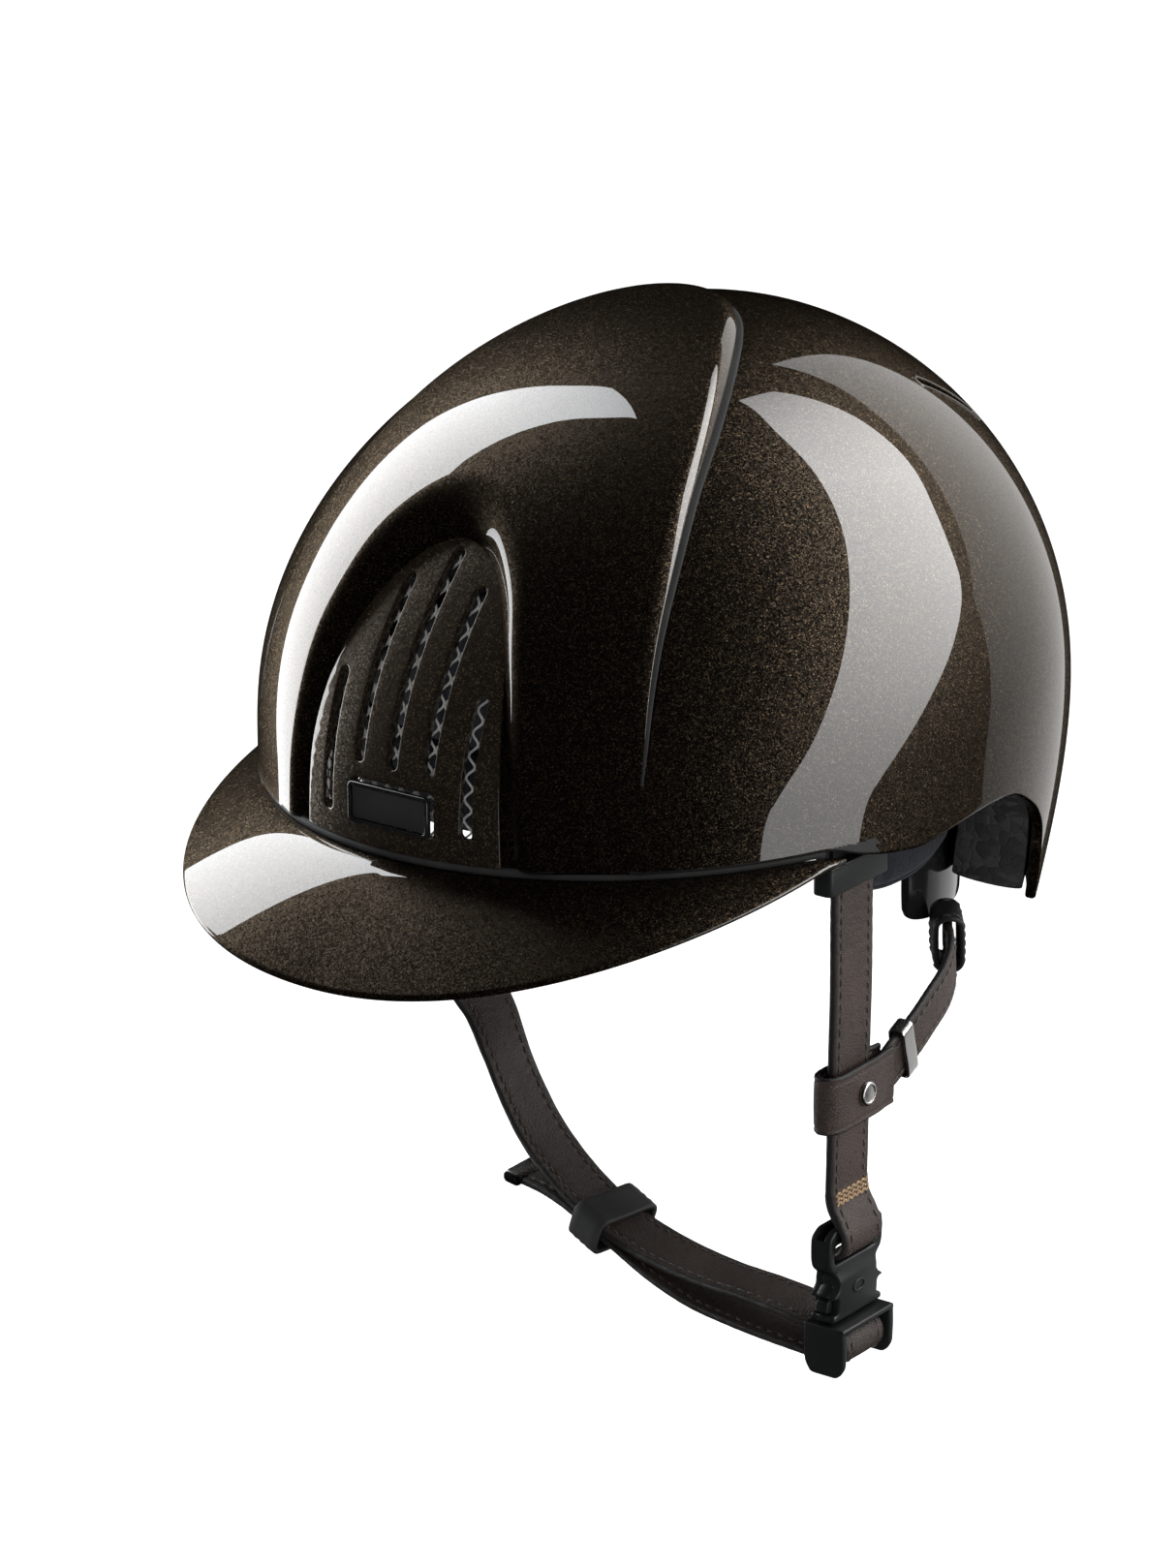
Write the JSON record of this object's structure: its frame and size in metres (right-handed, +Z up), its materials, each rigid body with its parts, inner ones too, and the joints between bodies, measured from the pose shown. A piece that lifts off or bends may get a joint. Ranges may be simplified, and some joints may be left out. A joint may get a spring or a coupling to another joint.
{
  "type": "equestrian riding helmet",
  "caption": "Riding helmet with a glossy domed shell, ventilated front grille, removable peak, foam and cloth liners, and a leather three-point harness with a side-release buckle.",
  "frame": {"origin": "centre of the brow rim, the opening where the head goes in", "axes": "+Z up to the crown, front of the helmet faces -Y, +X is the wearer's left"},
  "size_m": [0.21, 0.279, 0.2765],
  "materials": {
    "shell_paint": "gloss",
    "grille_wire": "satin",
    "badge_black": "gloss",
    "vent_plastic": "matte",
    "foam": "matte",
    "comfort_cloth": "matte",
    "yoke_black": "gloss",
    "gasket_rubber": "matte",
    "hardware": "satin",
    "strap_leather": "satin",
    "black_leather": "satin",
    "bright_metal": "polished"
  },
  "bodies": {
    "helmet": {"rear_shell": "shell_paint", "front_shell": "shell_paint", "left_rear_vent": "vent_plastic", "right_rear_vent": "vent_plastic", "grille_carrier": "shell_paint", "grille_insert": "shell_paint", "grille_mesh": "grille_wire", "badge_frame": "badge_black", "badge_plate": "badge_black", "visor_gasket": "gasket_rubber", "eps_liner": "foam", "headband_liner": "comfort_cloth", "crown_pad": "comfort_cloth", "nape_yoke": "yoke_black", "left_hanger": "hardware", "left_hanger_rivet": "bright_metal", "right_hanger": "hardware", "right_hanger_rivet": "bright_metal", "left_nape_loop": "black_leather", "right_nape_loop": "black_leather"},
    "peak": {"visor": "shell_paint"},
    "harness": {"left_front_strap": "strap_leather", "right_front_strap": "strap_leather", "left_rear_strap": "strap_leather", "right_rear_strap": "strap_leather", "chin_strap": "strap_leather", "strap_tail": "strap_leather", "strap_tip": "bright_metal", "buckle_socket": "hardware"},
    "left_junction": {"left_y_loop": "strap_leather", "left_loop_rivet": "bright_metal", "left_strap_tag": "bright_metal"},
    "right_junction": {"right_y_loop": "strap_leather", "right_loop_rivet": "bright_metal", "right_strap_tag": "bright_metal"},
    "strap_keeper": {"keeper": "gasket_rubber"},
    "plug": {"buckle_plug": "hardware"},
    "front_button": {"prong_front": "hardware"},
    "rear_button": {"prong_rear": "hardware"}
  },
  "joints": [
    {"name": "peak_slide", "type": "slide", "parent": "helmet", "child": "peak", "axis": [0, -1, 0], "range_m": [0, 0.03]},
    {"name": "harness_swing", "type": "hinge", "parent": "helmet", "child": "harness", "pos_m": [0, -0.0525, -0.004], "axis": [1, 0, 0], "range_deg": [-15, 12], "deforming": ["left_rear_strap", "right_rear_strap"]},
    {"name": "left_junction_slide", "type": "slide", "parent": "harness", "child": "left_junction", "axis": [0, 0, 1], "range_m": [-0.012, 0.015]},
    {"name": "right_junction_slide", "type": "slide", "parent": "harness", "child": "right_junction", "axis": [-0.5483, -0.2432, 0.8001], "range_m": [-0.005, 0.012]},
    {"name": "keeper_slide", "type": "slide", "parent": "harness", "child": "strap_keeper", "axis": [0.925, -0.1471, -0.3503], "range_m": [-0.006, 0.01]},
    {"name": "plug_release", "type": "slide", "parent": "harness", "child": "plug", "axis": [0, 0, -1], "range_m": [0, 0.028], "deforming": ["chin_strap", "strap_tail", "prong_front", "prong_rear"]},
    {"name": "front_button_press", "type": "slide", "parent": "plug", "child": "front_button", "axis": [0, 1, 0], "range_m": [0, 0.002], "stiffness_N_per_m": 600},
    {"name": "rear_button_press", "type": "slide", "parent": "plug", "child": "rear_button", "axis": [0, -1, 0], "range_m": [0, 0.002], "stiffness_N_per_m": 600}
  ]
}
